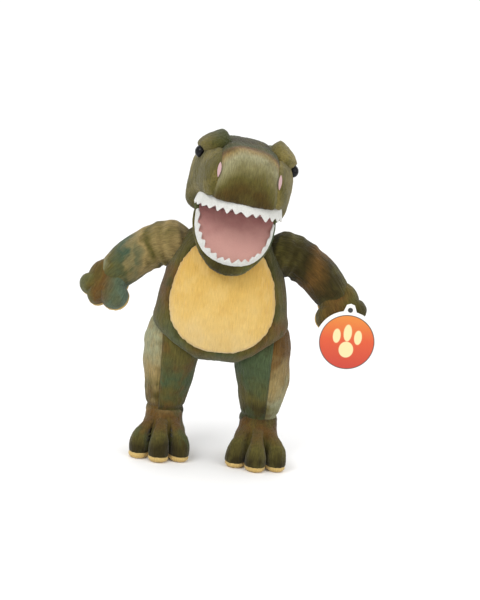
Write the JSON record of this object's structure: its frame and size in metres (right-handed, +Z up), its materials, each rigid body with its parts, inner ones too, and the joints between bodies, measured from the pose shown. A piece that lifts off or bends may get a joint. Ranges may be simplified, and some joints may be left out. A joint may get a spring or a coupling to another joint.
{
  "type": "stuffed dinosaur",
  "caption": "Standing plush meat-eating dinosaur with a hinged open mouth, felt teeth, swinging limbs, a tail and a hang tag.",
  "frame": {"origin": "on the floor, at the middle of the footprint of the whole toy with its tag and tail", "axes": "+Z up, -Y the way the toy faces, +X towards the toy's own left"},
  "size_m": [0.36, 0.2703, 0.396],
  "materials": {
    "plush_olive": "short-pile plush printed in mottled olive, brown and grey-green",
    "plush_yellow": "short-pile yellow plush",
    "plush_pink": "short-pile pink plush",
    "felt_white": "white felt",
    "fibre": "loose polyester fibre",
    "black_plastic": "polished",
    "washer_plastic": "moulded",
    "card": "coated card, printed on its front",
    "thread": "sewing thread"
  },
  "bodies": {
    "body": {"body_skin": "plush_olive", "belly_panel": "plush_yellow", "body_stuffing": "fibre", "closing_thread": "thread"},
    "neck": {"neck_skin": "plush_olive", "neck_stuffing": "fibre"},
    "head": {"head_gusset": "plush_olive", "left_head_panel": "plush_olive", "right_head_panel": "plush_olive", "palate_lining": "plush_pink", "head_stuffing": "fibre", "upper_teeth": "felt_white", "left_brow": "plush_olive", "left_nostril": "plush_pink", "left_eye": "black_plastic", "left_eye_washer": "washer_plastic", "right_brow": "plush_olive", "right_nostril": "plush_pink", "right_eye": "black_plastic", "right_eye_washer": "washer_plastic"},
    "jaw": {"jaw_skin": "plush_olive", "jaw_lining": "plush_pink", "jaw_stuffing": "fibre", "lower_teeth": "felt_white"},
    "left_arm": {"left_arm_skin": "plush_olive", "left_hand_back": "plush_olive", "left_palm": "plush_yellow", "left_arm_stuffing": "fibre", "tag_pin": "black_plastic"},
    "right_arm": {"right_arm_skin": "plush_olive", "right_hand_back": "plush_olive", "right_palm": "plush_yellow", "right_arm_stuffing": "fibre"},
    "left_leg": {"left_leg_inner_panel": "plush_olive", "left_leg_outer_panel": "plush_olive", "left_foot_top": "plush_olive", "left_sole": "plush_yellow", "left_leg_stuffing": "fibre"},
    "right_leg": {"right_leg_inner_panel": "plush_olive", "right_leg_outer_panel": "plush_olive", "right_foot_top": "plush_olive", "right_sole": "plush_yellow", "right_leg_stuffing": "fibre"},
    "tail": {"tail_skin": "plush_olive", "tail_stuffing": "fibre"},
    "tag": {"hang_tag": "card"}
  },
  "joints": [
    {"name": "neck_turn", "type": "hinge", "parent": "body", "child": "neck", "pos_m": [-0.007, -0.0219, 0.297], "axis": [0, 0, 1], "range_deg": [-20, 20], "stiffness_Nm_per_rad": 0.6},
    {"name": "head_nod", "type": "hinge", "parent": "neck", "child": "head", "pos_m": [-0.007, -0.0219, 0.297], "axis": [0.9871, 0.1037, -0.1219], "range_deg": [-20, 3], "stiffness_Nm_per_rad": 1.2},
    {"name": "jaw_bite", "type": "hinge", "parent": "head", "child": "jaw", "pos_m": [-0.00181, -0.0666, 0.30097], "axis": [0.9871, 0.1037, -0.1219], "range_deg": [-48, 0], "stiffness_Nm_per_rad": 0.08},
    {"name": "left_shoulder_lift", "type": "hinge", "parent": "body", "child": "left_arm", "pos_m": [0.055, -0.0239, 0.256], "axis": [0, -1, 0], "range_deg": [-5, 50], "stiffness_Nm_per_rad": 0.5},
    {"name": "right_shoulder_lift", "type": "hinge", "parent": "body", "child": "right_arm", "pos_m": [-0.069, -0.0239, 0.256], "axis": [0, 1, 0], "range_deg": [-5, 50], "stiffness_Nm_per_rad": 0.5},
    {"name": "left_hip_swing", "type": "hinge", "parent": "body", "child": "left_leg", "pos_m": [0.045, -0.0239, 0.138], "axis": [-1, 0, 0], "range_deg": [-10, 40], "stiffness_Nm_per_rad": 3},
    {"name": "right_hip_swing", "type": "hinge", "parent": "body", "child": "right_leg", "pos_m": [-0.059, -0.0239, 0.138], "axis": [-1, 0, 0], "range_deg": [-10, 40], "stiffness_Nm_per_rad": 3},
    {"name": "tail_wag", "type": "hinge", "parent": "body", "child": "tail", "pos_m": [-0.007, 0.0221, 0.154], "axis": [0, 0, 1], "range_deg": [-15, 15], "stiffness_Nm_per_rad": 0.3},
    {"name": "tag_swing", "type": "hinge", "parent": "left_arm", "child": "tag", "pos_m": [0.143, -0.0662, 0.205], "axis": [0, -1, 0], "range_deg": [-35, 35]}
  ]
}
